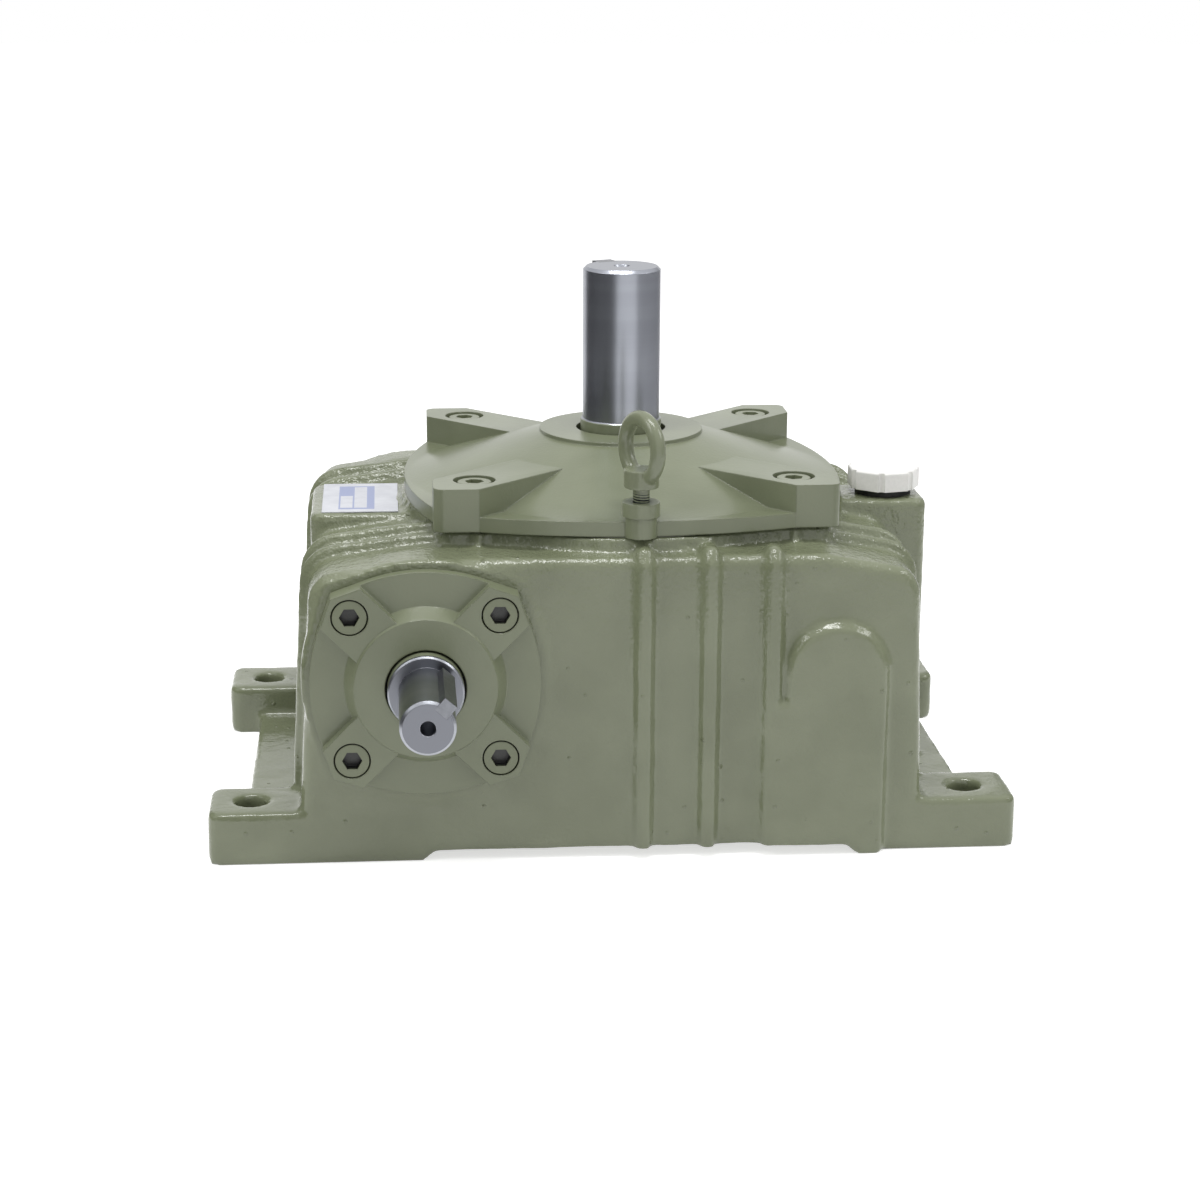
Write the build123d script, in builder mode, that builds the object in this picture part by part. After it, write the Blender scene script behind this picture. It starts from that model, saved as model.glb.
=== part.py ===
from build123d import *

import os
from math import atan2, cos, pi, radians, sin, sqrt, tan

# Worm gear reducer with its output shaft pointing up.
# Millimetres. The origin is on the floor, under the output shaft's axis.
# The worm lies along Y, beside the wheel at -X, and its shaft end points to -Y.

# Gearing
centre_distance = 100.0
module_size = 4.0
worm_starts = 2
wheel_teeth = 40
pressure_angle = radians(20)
worm_height = 89.0
wheel_width = 28.0
wheel_outer_radius = 86.0
worm_thread_length = 66.0
thread_bevel = 2.0
tooth_clearance = 0.2
tip_clearance = 0.8

wheel_pitch_radius = module_size * wheel_teeth / 2
worm_pitch_radius = centre_distance - wheel_pitch_radius
worm_tip_radius = worm_pitch_radius + module_size
worm_root_radius = worm_pitch_radius - 1.2 * module_size
axial_pitch = pi * module_size
worm_lead = axial_pitch * worm_starts
wheel_bottom = worm_height - wheel_width / 2
wheel_top = worm_height + wheel_width / 2

# Output shaft
output_end_z = 262.0
output_length = 75.0
output_end_radius = 19.0
output_journal_radius = 20.0
output_seat_radius = 22.5
output_collar_radius = 27.0
output_foot_z = 20.0
collar_thickness = 27.0
output_chamfer = 1.5
output_shoulder_z = output_end_z - output_length

# Output bearings, single row tapered roller, 40 x 80 x 19.75
output_bearing_bore = 20.0
output_bearing_outer = 40.0
output_bearing_width = 19.75
output_cup_width = 16.0

# Worm shaft
input_end_y = 190.0
input_length = 50.0
input_end_radius = 12.5
input_journal_radius = 17.5
input_shoulder_radius = 21.0
input_neck_radius = 14.2
input_chamfer = 1.2
input_shoulder_y = input_end_y - input_length
input_rear_end = 116.0

# Worm bearings, single row tapered roller, 35 x 72 x 18.25
input_bearing_bore = 17.5
input_bearing_outer = 36.0
input_bearing_width = 18.25
input_cup_width = 15.0

# Bearing form
rib_height = 2.6
race_thickness = 4.2
race_slope = radians(14)
roller_count = 14
roller_gap = 0.05
cage_thickness = 1.2
cage_play = 0.25

# Keys and centre holes
output_key_width = 10.0
output_key_height = 8.0
output_key_depth = 5.0
output_key_length = 60.0
output_key_angle = 112.7
input_key_width = 7.0
input_key_depth = 4.0
input_key_length = 45.0
input_key_angle = 49.0
wheel_key_width = 14.0
wheel_key_height = 9.0
wheel_key_depth = 5.5
wheel_key_length = 34.0
output_centre_hole = 2.25
input_tapped_radius = 3.4
input_tapped_depth = 22.0
input_countersink = 3.7

# Housing body
body_half_depth = 118.0
top_z = 145.0
left_foot_x = -160.0
left_corner = (-152.5, 138.0)
left_top_x = -100.0
right_top_x = 85.0
right_corner = (129.5, 136.5)
right_foot_x = 134.5
corner_radius = 14.0
shoulder_radius = 40.0
edge_radius = 5.0
wall = 10.0
floor_thickness = 12.0
arch_height = 4.5
arch_left = -96.5
arch_right = 97.5
arch_slope = 5.0

# Cooling fins across the shoulders
fin_width = 6.0
fin_height = 4.5
fin_round = 2.2
fin_rows = (60.0, 82.0)

# Front ribs and the arched panel beside them
rib_width = 8.0
rib_proud = 4.8
rib_round = 3.0
rib_top_z = 149.5
rib_centres = (1.0, 31.5, 61.0)
panel_left = 57.0
panel_arch_x = 91.2
panel_arch_z = 88.5
panel_arch_radius = 23.8
panel_leg_z = 76.0

# Feet
foot_hole_radius = 7.5
foot_span_x = 340.0
foot_span_y = 196.0
foot_centre_x = -12.0
foot_left = -202.0
foot_right = 180.0
foot_depth = 40.0
foot_height = 25.0
foot_reach = 60.0
foot_round = 6.0
foot_edge = 2.5
shelf_left = -186.0
shelf_right = 165.0
left_shelf_height = 10.0
right_shelf_height = 12.0

# Seat of the top cover and the pads on the shoulders
seat_radius = 109.5
seat_z = 152.0
opening_radius = 91.0
lug_radius = 13.0
lug_bottom_z = 124.0
plate_pad_left = -153.5
plate_pad_right = -100.0
plate_pad_half = 34.0
pad_z = 147.0
pad_round = 6.0
pad_edge = 3.0
plate_centre = (-129.5, 0.0)
plate_size = (37.0, 60.0)
plate_thickness = 0.6
filler_left = 100.0
filler_right = 152.0
filler_half = 19.5
filler_x = 132.8
filler_hole_radius = 10.0

# Top cover
gasket = 0.6
cover_rim_radius = 107.5
cover_rim_height = 7.0
hub_ring_radius = 40.4
hub_ring_z = 182.0
cone_top_z = 180.2
cone_foot_radius = 104.0
spigot_radius = 90.9
spigot_depth = 5.0
arm_width = 30.0
arm_top_z = 173.0
arm_end = 119.4
cover_screw_circle = 106.6
counterbore_radius = 10.0
counterbore_depth = 8.6
cover_hub_outer = 50.0
cover_wall = 9.0
shaft_hole_radius = 22.15
eye_boss_y = -107.0
eye_boss_radius = 8.7
eye_boss_foot_radius = 7.4
eye_boss_step_z = 162.5
eye_boss_top_z = 169.1

# Output seal
output_seal_outer = 31.0
output_seal_width = 8.0
seal_lip = 0.05

# Screws
screw_radius = 5.0
screw_hole_radius = 5.5
screw_head_radius = 8.0
screw_head_height = 8.0
socket_width = 8.0
socket_depth = 5.0
cover_screw_length = 30.0
end_screw_length = 20.0
thread_play = 0.05

# End covers of the worm bearings
boss_face_y = 119.0
boss_inner_y = 97.0
boss_grow = 4.0
end_gasket = 0.5
end_flange = 6.0
end_cover_thickness = 12.5
end_screw_half = 34.0
end_side = 53.0
end_corner = (28.8, 47.5)
end_tip = 42.5
end_arm_width = 26.0
end_arm_corner = 54.0
end_arm_tip = 60.2
end_hub_radius = 32.7
end_hub_foot = 37.2
end_hub_proud = 1.2
end_counterbore_radius = 8.5
end_counterbore_depth = 8.2
end_spigot_depth = 6.0
end_spigot_wall = 5.5
end_hole_radius = 18.6
input_seal_outer = 26.0
input_seal_width = 8.0
input_lip_wall = 4.2
rear_hollow_depth = 4.0

# Oil fittings
gauge_x = 62.0
gauge_radius = 12.0
gauge_flange_radius = 16.0
gauge_flange = 4.0
gauge_glass_radius = 9.0
gauge_stem = 9.0
drain_z = 24.0
drain_radius = 7.0
drain_head_width = 17.0
drain_head = 7.0
drain_stem = 9.0
drain_washer = 1.5
drain_washer_radius = 11.0
cap_radius = 18.8
cap_bottom_z = 150.4
cap_top_z = 160.0
cap_notch_radius = 1.8
cap_sides = 7
cap_stem_length = 14.0
cap_seal_radius = 14.0
end_cap_radius = 32.0
end_cap_z = 9.0
end_cap_height = 8.0
end_cap_sheet = 2.0

# Lifting eye, M8
eye_thread_radius = 4.0
eye_collar_z = 175.9
eye_collar_top = 184.5
eye_collar_radius = 8.1
eye_centre_z = 194.0
eye_ring_radius = 13.9
eye_section_radius = 3.6
eye_angle = 63.5
eye_thread_depth = 12.0

# Wheel body
wheel_seam_radius = 65.0
wheel_hub_radius = 38.0
wheel_hub_height = 40.0
wheel_web = 14.0
wheel_rim_wall = 9.0
rim_screw_count = 6
rim_screw_radius = 4.0
rim_screw_length = 12.0
rim_screw_socket = 4.0

# Heights along the output shaft
cover_bottom_z = seat_z + gasket
upper_cup_back_z = 168.0
lower_cup_back_z = 22.25
upper_cone_back_z = upper_cup_back_z - output_bearing_width
lower_cone_back_z = lower_cup_back_z + output_bearing_width
hub_bottom_z = lower_cone_back_z + collar_thickness
hub_top_z = hub_bottom_z + wheel_hub_height

# Distances along the worm shaft, measured from its middle
end_cover_back = boss_face_y + end_gasket
end_cup_back = end_cover_back - end_spigot_depth
end_cone_back = end_cup_back - input_bearing_width
end_cover_face = end_cover_back + end_cover_thickness

# The worm's own frame: its z axis is the worm axis and points to the shaft end
worm_origin = (-centre_distance, 0, worm_height)
worm_plane = Plane(origin=worm_origin, x_dir=(1, 0, 0), z_dir=(0, -1, 0))
worm_axis = Axis(worm_origin, (0, -1, 0))
rear_plane = Plane(origin=worm_origin, x_dir=(1, 0, 0), z_dir=(0, 1, 0))
rear_axis = Axis(worm_origin, (0, 1, 0))

os.makedirs("parts", exist_ok=True)


def save(piece, name):
    piece.part.label = name
    export_step(piece.part, "parts/" + name + ".step")


def section_plane(frame):
    """The plane in which a turned piece of this frame is drawn: radius, then height."""
    return Plane(origin=frame.origin, x_dir=frame.x_dir, z_dir=-frame.y_dir)


def outline(plane, points):
    with BuildSketch(plane) as face:
        with BuildLine():
            Polyline(*points, close=True)
        make_face()
    return face.sketch


def arm_outline(plane, width, start, corner, tip=None):
    """One arm along the plane's x axis, cut square at its corners, or drawn out to a blunt tip."""
    half = width / 2
    nose = [] if tip is None else [(tip, 0)]
    return outline(plane, [(start, -half), (corner, -half), *nose, (corner, half), (start, half)])


def turned(frame, angle):
    """The same frame turned about its own z axis, in degrees."""
    turn = radians(angle)
    return Plane(origin=frame.origin, x_dir=frame.x_dir * cos(turn) + frame.y_dir * sin(turn),
                 z_dir=frame.z_dir)


# Housing

def shoulder_outline(plane, grow, bottom):
    """The casting's outline seen from the front, grown on its left, top and right."""
    with BuildSketch(plane) as face:
        with BuildLine():
            Polyline(
                (left_foot_x - grow, bottom),
                (left_corner[0] - grow, left_corner[1] + grow),
                (left_top_x, top_z + grow),
                (right_top_x, top_z + grow),
                (right_corner[0] + grow, right_corner[1] + grow),
                (right_foot_x + grow, bottom),
                close=True,
            )
        make_face()
        upper = face.vertices().sort_by(Axis.Y)[2:].sort_by(Axis.X)
        fillet([upper[0], upper[-1]], corner_radius + grow)
        fillet(face.vertices().group_by(Axis.Y)[-1], shoulder_radius)
    return face.sketch


def end_outline(plane, grow):
    """Outline of a bearing cover: four bowed sides between facetted corners."""
    near, far = end_corner[0], end_corner[1] + grow
    tip = end_tip + grow
    side = end_side + grow
    with BuildSketch(plane) as face:
        with BuildLine():
            for turn in range(4):
                points = [(-near, far), (0, side), (near, far), (tip, tip), (far, near)]
                spun = [Vector(x, y).rotate(Axis.Z, -90 * turn) for x, y in points]
                ThreePointArc(spun[0], spun[1], spun[2])
                Polyline(spun[2], spun[3], spun[4])
        make_face()
    return face.sketch


with BuildPart() as fins:
    for row in fin_rows:
        for side in (-1, 1):
            fin_plane = Plane.XZ.offset(side * row)
            extrude(shoulder_outline(fin_plane, fin_height, 0), amount=fin_width / 2, both=True)
    fin_edges = fins.faces().filter_by(Axis.Y).edges().filter_by(lambda e: e.center().Z > 1)
    fillet(fin_edges, fin_round)

with BuildPart() as front_ribs:
    rib_front = -body_half_depth - rib_proud
    rib_back = -body_half_depth + 12
    for centre in rib_centres:
        rib_plane = Plane.YZ.offset(centre - rib_width / 2)
        rib_side = [(rib_front, 0), (rib_front, rib_top_z - 7), (rib_front + 6, rib_top_z),
                    (rib_back, rib_top_z), (rib_back, 0)]
        extrude(outline(rib_plane, rib_side), amount=rib_width)
    fillet(front_ribs.edges().filter_by(Axis.X).group_by(Axis.Z)[1:], rib_round)
    fillet(front_ribs.edges().filter_by(Axis.Z).group_by(Axis.Y)[0], rib_round)

with BuildPart() as panel:
    with BuildSketch(Plane.XZ.offset(body_half_depth - 2)):
        with BuildLine():
            panel_right = panel_arch_x + panel_arch_radius
            panel_step = panel_arch_x - panel_arch_radius
            Polyline((panel_step, panel_arch_z), (panel_step, panel_leg_z), (panel_left, panel_leg_z),
                     (panel_left, 0), (panel_right, 0), (panel_right, panel_arch_z))
            RadiusArc((panel_right, panel_arch_z), (panel_step, panel_arch_z), -panel_arch_radius)
        make_face()
    extrude(amount=rib_proud + 2)
    fillet(panel.faces().sort_by(Axis.Y)[0].edges().filter_by(lambda e: e.center().Z > 1), rib_round)

with BuildPart() as pads:
    for low_x, high_x, half in ((plate_pad_left, plate_pad_right, plate_pad_half),
                                (filler_left, filler_right, filler_half)):
        with Locations(((low_x + high_x) / 2, 0, 0)):
            Box(high_x - low_x, 2 * half, pad_z, align=(Align.CENTER, Align.CENTER, Align.MIN))
    pad_sides = pads.edges().filter_by(Axis.Z)
    fillet(pad_sides.group_by(Axis.X)[0] + pad_sides.group_by(Axis.X)[-1], pad_round)
    fillet(pads.faces().filter_by(Axis.Z).group_by(Axis.Z)[-1].edges(), pad_edge)

with BuildPart() as feet:
    foot_y = body_half_depth - foot_depth / 2
    for side in (-1, 1):
        for end_x, direction in ((foot_left, 1), (foot_right, -1)):
            with Locations((end_x + direction * foot_reach / 2, side * foot_y, 0)):
                Box(foot_reach, foot_depth, foot_height, align=(Align.CENTER, Align.CENTER, Align.MIN))
    outer_edges = feet.edges().filter_by(Axis.Z)
    fillet(outer_edges.group_by(Axis.X)[0] + outer_edges.group_by(Axis.X)[-1], foot_round)
    fillet(feet.faces().group_by(Axis.Z)[-1].edges(), foot_edge)

with BuildPart() as housing:
    extrude(shoulder_outline(Plane.XZ, 0, 0), amount=body_half_depth, both=True)
    end_edges = housing.faces().filter_by(Axis.Y).edges().filter_by(lambda e: e.center().Z > 1)
    fillet(end_edges, edge_radius)
    add(fins.part)
    add(pads.part)
    # Neck and lugs under the cover
    with BuildSketch(Plane.XY.offset(seat_z)):
        Circle(seat_radius)
        for angle in (45, 135, 225, 315):
            add(arm_outline(Plane.XY, arm_width, 60, arm_end), rotation=angle)
    extrude(amount=-(seat_z - top_z + 12))
    add(front_ribs.part)
    add(panel.part)
    # Bearing bosses at both ends of the worm, inside and just outside the end walls
    for frame in (worm_plane, rear_plane):
        extrude(end_outline(frame.offset(boss_inner_y), boss_grow), amount=boss_face_y - boss_inner_y)
    # Feet and the shelves between them
    add(feet.part)
    with Locations((shelf_left, 0, 0)):
        Box(60, 2 * body_half_depth - foot_depth, left_shelf_height,
            align=(Align.MIN, Align.CENTER, Align.MIN))
    with Locations((shelf_right, 0, 0)):
        Box(60, 2 * body_half_depth - foot_depth, right_shelf_height,
            align=(Align.MAX, Align.CENTER, Align.MIN))
    # Hollow inside
    extrude(shoulder_outline(Plane.XZ, -wall, floor_thickness), amount=body_half_depth - wall,
            both=True, mode=Mode.SUBTRACT)
    with Locations((filler_right - wall, 0, pad_z - wall)):
        Box(filler_right - filler_left, 2 * filler_half - 2 * wall + 4, pad_z - wall - 60,
            align=(Align.MAX, Align.CENTER, Align.MAX), mode=Mode.SUBTRACT)
    for frame in (worm_plane, rear_plane):
        extrude(end_outline(frame.offset(boss_inner_y), 0), amount=body_half_depth - boss_inner_y)
    Cylinder(cover_hub_outer, lower_cone_back_z - 4, align=(Align.CENTER, Align.CENTER, Align.MIN))
    with PolarLocations(cover_screw_circle, 4, start_angle=45):
        with Locations((0, 0, lug_bottom_z)):
            Cylinder(lug_radius, seat_z - lug_bottom_z, align=(Align.CENTER, Align.CENTER, Align.MIN))
    # Bores
    with Locations((0, 0, seat_z)):
        Cylinder(opening_radius, seat_z - lug_bottom_z + 6, align=(Align.CENTER, Align.CENTER, Align.MAX),
                 mode=Mode.SUBTRACT)
    with Locations((0, 0, lower_cup_back_z)):
        Cylinder(output_bearing_outer, 40, align=(Align.CENTER, Align.CENTER, Align.MIN),
                 mode=Mode.SUBTRACT)
    Cylinder(end_cap_radius, 100, mode=Mode.SUBTRACT)
    with Locations(worm_plane):
        Cylinder(input_bearing_outer, 2 * body_half_depth + 20, mode=Mode.SUBTRACT)
    # Screw holes
    with PolarLocations(cover_screw_circle, 4, start_angle=45):
        with Locations((0, 0, seat_z)):
            Cylinder(screw_radius + thread_play, 24, align=(Align.CENTER, Align.CENTER, Align.MAX),
                     mode=Mode.SUBTRACT)
    for frame in (worm_plane, rear_plane):
        with Locations(frame.offset(boss_face_y)):
            with GridLocations(2 * end_screw_half, 2 * end_screw_half, 2, 2):
                Cylinder(screw_radius + thread_play, 18, align=(Align.CENTER, Align.CENTER, Align.MAX),
                         mode=Mode.SUBTRACT)
    with Locations((filler_x, 0, pad_z)):
        Cylinder(filler_hole_radius + thread_play, 20, align=(Align.CENTER, Align.CENTER, Align.MAX),
                 mode=Mode.SUBTRACT)
    rear_wall = Plane(origin=(gauge_x, body_half_depth, 0), x_dir=(-1, 0, 0), z_dir=(0, 1, 0))
    with Locations(rear_wall):
        with Locations((0, worm_height, 0)):
            Cylinder(gauge_radius + thread_play, 40, mode=Mode.SUBTRACT)
        with Locations((0, drain_z, 0)):
            Cylinder(drain_radius + thread_play, 40, mode=Mode.SUBTRACT)
    with Locations((foot_centre_x, 0, 0)):
        with GridLocations(foot_span_x, foot_span_y, 2, 2):
            Cylinder(foot_hole_radius, 3 * foot_height, mode=Mode.SUBTRACT)
    # The arch under the casting leaves a machined foot at each end
    arch = [(arch_left - arch_slope, -1), (arch_left - arch_slope, 0), (arch_left, arch_height),
            (arch_right, arch_height), (arch_right + arch_slope, 0), (arch_right + arch_slope, -1)]
    extrude(outline(Plane.XZ, arch), amount=body_half_depth + 20, both=True, mode=Mode.SUBTRACT)

save(housing, "housing")


# Top cover

cone_slope = (cone_top_z - cover_bottom_z - cover_rim_height) / (cone_foot_radius - hub_ring_radius)


def cone_z(radius):
    """Height of the cover's conical top at a radius."""
    return cone_top_z - (radius - hub_ring_radius) * cone_slope


with BuildPart() as top_cover:
    revolve(outline(Plane.XZ, [
        (0, cover_bottom_z), (cover_rim_radius, cover_bottom_z),
        (cover_rim_radius, cover_bottom_z + cover_rim_height),
        (cone_foot_radius, cover_bottom_z + cover_rim_height),
        (hub_ring_radius, cone_top_z), (hub_ring_radius, hub_ring_z), (0, hub_ring_z),
    ]), axis=Axis.Z)
    with BuildSketch(Plane.XY.offset(cover_bottom_z)):
        for angle in (45, 135, 225, 315):
            add(arm_outline(Plane.XY, arm_width, hub_ring_radius, arm_end), rotation=angle)
    extrude(amount=arm_top_z - cover_bottom_z)
    # Lifting eye boss on the rim
    with Locations((0, eye_boss_y, cover_bottom_z)):
        Cylinder(eye_boss_foot_radius, eye_boss_step_z - cover_bottom_z,
                 align=(Align.CENTER, Align.CENTER, Align.MIN))
    with Locations((0, eye_boss_y, eye_boss_step_z)):
        Cylinder(eye_boss_radius, eye_boss_top_z - eye_boss_step_z,
                 align=(Align.CENTER, Align.CENTER, Align.MIN))
    # Hollow under the cone, with the spigot and the bearing hub left standing
    spigot_inner = spigot_radius - cover_wall
    hub_inner_z = cone_z(cover_hub_outer) - cover_wall
    revolve(outline(Plane.XZ, [
        (0, cover_bottom_z), (spigot_inner, cover_bottom_z), (spigot_inner, cone_z(spigot_inner) - cover_wall),
        (cover_hub_outer, hub_inner_z), (0, hub_inner_z),
    ]), axis=Axis.Z, mode=Mode.SUBTRACT)
    revolve(outline(Plane.XZ, [
        (spigot_inner, cover_bottom_z), (spigot_radius, cover_bottom_z),
        (spigot_radius, cover_bottom_z - spigot_depth), (spigot_inner, cover_bottom_z - spigot_depth),
    ]), axis=Axis.Z)
    cover_hub_bottom = upper_cup_back_z - output_cup_width - 2
    with Locations((0, 0, cover_hub_bottom)):
        Cylinder(cover_hub_outer, hub_inner_z - cover_hub_bottom + 1,
                 align=(Align.CENTER, Align.CENTER, Align.MIN))
    # Bores for the bearing, the seal and the shaft
    seal_top_z = hub_ring_z - 3.5
    revolve(outline(Plane.XZ, [
        (0, 0), (output_bearing_outer, 0), (output_bearing_outer, upper_cup_back_z),
        (output_seal_outer, upper_cup_back_z), (output_seal_outer, seal_top_z),
        (shaft_hole_radius, seal_top_z), (shaft_hole_radius, hub_ring_z + 1), (0, hub_ring_z + 1),
    ]), axis=Axis.Z, mode=Mode.SUBTRACT)
    # Screw holes
    with PolarLocations(cover_screw_circle, 4, start_angle=45):
        with Locations((0, 0, arm_top_z)):
            CounterBoreHole(screw_hole_radius, counterbore_radius, counterbore_depth)
    with Locations((0, eye_boss_y, eye_boss_top_z)):
        Hole(eye_thread_radius + thread_play, eye_thread_depth)
save(top_cover, "top_cover")

with BuildPart() as top_cover_gasket:
    with BuildSketch(Plane.XY.offset(seat_z)):
        Circle(cover_rim_radius)
        for angle in (45, 135, 225, 315):
            add(arm_outline(Plane.XY, arm_width, 60, arm_end), rotation=angle)
        Circle(opening_radius, mode=Mode.SUBTRACT)
        with PolarLocations(cover_screw_circle, 4, start_angle=45):
            Circle(screw_hole_radius, mode=Mode.SUBTRACT)
    extrude(amount=gasket)
save(top_cover_gasket, "top_cover_gasket")


def socket_screw(length):
    """A socket head screw standing on its thread, with the underside of its head at zero."""
    with BuildPart() as screw:
        Cylinder(screw_radius, length, align=(Align.CENTER, Align.CENTER, Align.MAX))
        Cylinder(screw_head_radius, screw_head_height, align=(Align.CENTER, Align.CENTER, Align.MIN))
        fillet(screw.edges().group_by(Axis.Z)[-1], 0.5)
        with BuildSketch(Plane.XY.offset(screw_head_height)):
            RegularPolygon(socket_width / 2, 6, major_radius=False)
        extrude(amount=-socket_depth, mode=Mode.SUBTRACT)
    return screw.part


with BuildPart() as top_cover_screws:
    with PolarLocations(cover_screw_circle, 4, start_angle=45):
        with Locations((0, 0, arm_top_z - counterbore_depth)):
            add(socket_screw(cover_screw_length))
save(top_cover_screws, "top_cover_screws")

with BuildPart() as output_seal:
    seal_base_z = seal_top_z - output_seal_width
    seal_lip_radius = output_journal_radius + seal_lip
    revolve(outline(Plane.XZ, [
        (output_seal_outer, seal_base_z), (output_seal_outer, seal_top_z), (seal_lip_radius + 3, seal_top_z),
        (seal_lip_radius, seal_top_z - 1), (seal_lip_radius + 2, seal_base_z + 4),
        (seal_lip_radius, seal_base_z + 2.5), (seal_lip_radius + 2.5, seal_base_z),
    ]), axis=Axis.Z)
save(output_seal, "output_seal")

with BuildPart() as bottom_end_cap:
    with Locations((0, 0, end_cap_z)):
        Cylinder(end_cap_radius, end_cap_height, align=(Align.CENTER, Align.CENTER, Align.MIN))
    fillet(bottom_end_cap.edges().group_by(Axis.Z)[0], 1.5)
    with Locations((0, 0, end_cap_z + end_cap_sheet)):
        Cylinder(end_cap_radius - end_cap_sheet, end_cap_height, mode=Mode.SUBTRACT,
                 align=(Align.CENTER, Align.CENTER, Align.MIN))
save(bottom_end_cap, "bottom_end_cap")


# Bearing covers at the ends of the worm

def end_cover_body(frame, axis):
    """Flange with a raised hub, four arms and a spigot, hollow behind the hub."""
    back = frame.offset(end_cover_back)
    draw = section_plane(frame)
    spigot_inner_radius = input_bearing_outer - end_spigot_wall
    with BuildPart() as cover:
        extrude(end_outline(back, 0), amount=end_flange)
        for angle in (45, 135, 225, 315):
            arm_plane = turned(back, angle)
            extrude(arm_outline(arm_plane, end_arm_width, 0, end_arm_corner, end_arm_tip),
                    amount=end_cover_thickness)
        hub_face = end_cover_face + end_hub_proud
        revolve(outline(draw, [
            (0, end_cover_back), (end_hub_foot, end_cover_back), (end_hub_foot, end_cover_back + end_flange),
            (end_hub_radius, hub_face), (0, hub_face),
        ]), axis=axis)
        revolve(outline(draw, [
            (spigot_inner_radius, end_cup_back), (input_bearing_outer, end_cup_back),
            (input_bearing_outer, end_cover_back), (spigot_inner_radius, end_cover_back),
        ]), axis=axis)
        with Locations(frame.offset(end_cover_face)):
            with GridLocations(2 * end_screw_half, 2 * end_screw_half, 2, 2):
                CounterBoreHole(screw_hole_radius, end_counterbore_radius, end_counterbore_depth)
    return cover.part


def gasket_ring(frame):
    with BuildPart() as ring:
        extrude(end_outline(frame.offset(boss_face_y), 0), amount=end_gasket)
        with Locations(frame.offset(boss_face_y)):
            Cylinder(input_bearing_outer, 4 * end_gasket, mode=Mode.SUBTRACT)
            with GridLocations(2 * end_screw_half, 2 * end_screw_half, 2, 2):
                Cylinder(screw_hole_radius, 4 * end_gasket, mode=Mode.SUBTRACT)
    return ring.part


input_seal_face = end_cover_face + end_hub_proud - input_lip_wall
with BuildPart() as front_cover:
    add(end_cover_body(worm_plane, worm_axis))
    hollow = input_bearing_outer - end_spigot_wall
    revolve(outline(section_plane(worm_plane), [
        (0, 0), (hollow, 0), (hollow, end_cover_back), (input_seal_outer, end_cover_back + 1),
        (input_seal_outer, input_seal_face), (end_hole_radius, input_seal_face),
        (end_hole_radius, input_end_y), (0, input_end_y),
    ]), axis=worm_axis, mode=Mode.SUBTRACT)
save(front_cover, "front_cover")

with BuildPart() as rear_cover:
    add(end_cover_body(rear_plane, rear_axis))
    revolve(outline(section_plane(rear_plane), [
        (0, 0), (hollow, 0), (hollow, end_cover_back + rear_hollow_depth),
        (0, end_cover_back + rear_hollow_depth),
    ]), axis=rear_axis, mode=Mode.SUBTRACT)
save(rear_cover, "rear_cover")

for end_name, frame in (("front", worm_plane), ("rear", rear_plane)):
    with BuildPart() as end_gasket_ring:
        add(gasket_ring(frame))
    save(end_gasket_ring, end_name + "_gasket")
    with BuildPart() as end_screws:
        with Locations(frame.offset(end_cover_face - end_counterbore_depth)):
            with GridLocations(2 * end_screw_half, 2 * end_screw_half, 2, 2):
                add(socket_screw(end_screw_length))
    save(end_screws, end_name + "_cover_screws")

with BuildPart() as input_seal:
    seal_back = input_seal_face - input_seal_width
    lip_radius = input_journal_radius + seal_lip
    revolve(outline(section_plane(worm_plane), [
        (input_seal_outer, seal_back), (input_seal_outer, input_seal_face), (lip_radius + 3, input_seal_face),
        (lip_radius, input_seal_face - 1), (lip_radius + 2, seal_back + 4), (lip_radius, seal_back + 2.5),
        (lip_radius + 2.5, seal_back),
    ]), axis=worm_axis)
save(input_seal, "input_seal")


# Tapered roller bearings

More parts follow.
